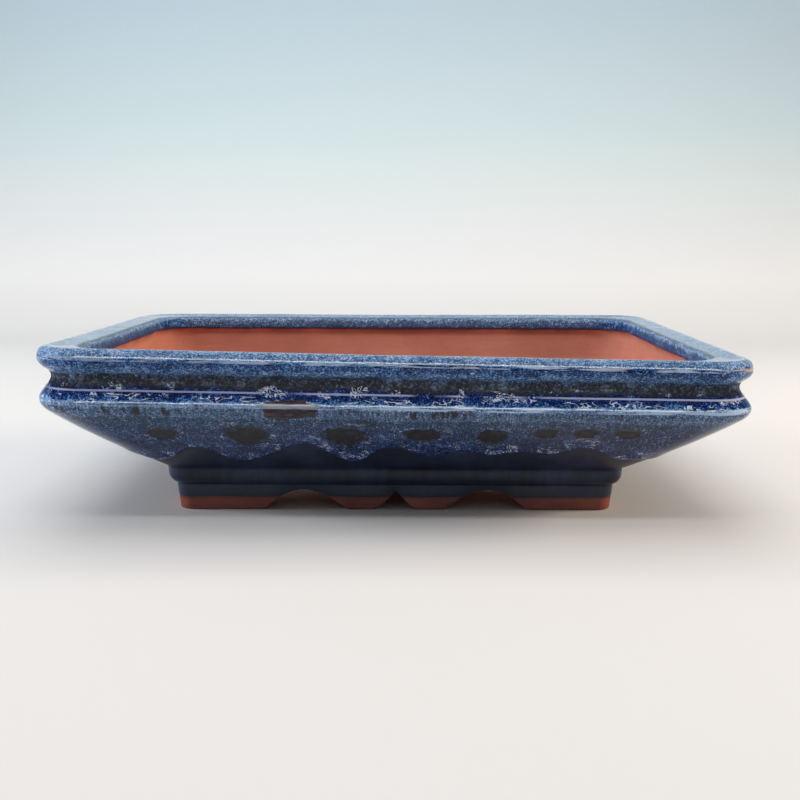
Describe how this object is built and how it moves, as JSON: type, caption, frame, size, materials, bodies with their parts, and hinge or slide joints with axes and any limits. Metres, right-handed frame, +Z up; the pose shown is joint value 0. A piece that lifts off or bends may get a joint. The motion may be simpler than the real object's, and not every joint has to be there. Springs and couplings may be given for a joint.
{
  "type": "bonsai pot",
  "caption": "Shallow rectangular glazed bonsai pot with a rolled rim, a beaded belt, sloping sides, a plinth, drainage holes and scalloped foot rails.",
  "frame": {"origin": "on the ground under the middle of the pot", "axes": "+X along the long side, -Y towards the front, +Z up"},
  "size_m": [0.31, 0.24, 0.0785],
  "materials": {
    "blue_glaze": "glossy mottled cobalt glaze, breaking to pale and dark flecks",
    "navy_glaze": "smooth satin navy glaze",
    "terracotta": "unglazed fine red clay"
  },
  "bodies": {
    "root": {"floor_slab": "terracotta", "front_rim": "blue_glaze", "right_rim": "blue_glaze", "back_rim": "blue_glaze", "left_rim": "blue_glaze", "front_collar": "blue_glaze", "right_collar": "blue_glaze", "back_collar": "blue_glaze", "left_collar": "blue_glaze", "front_belt": "blue_glaze", "right_belt": "blue_glaze", "back_belt": "blue_glaze", "left_belt": "blue_glaze", "front_belly": "blue_glaze", "right_belly": "blue_glaze", "back_belly": "blue_glaze", "left_belly": "blue_glaze", "front_plinth": "navy_glaze", "right_plinth": "navy_glaze", "back_plinth": "navy_glaze", "left_plinth": "navy_glaze", "front_foot_rail": "navy_glaze", "right_foot_rail": "navy_glaze", "back_foot_rail": "navy_glaze", "left_foot_rail": "navy_glaze"}
  },
  "joints": []
}
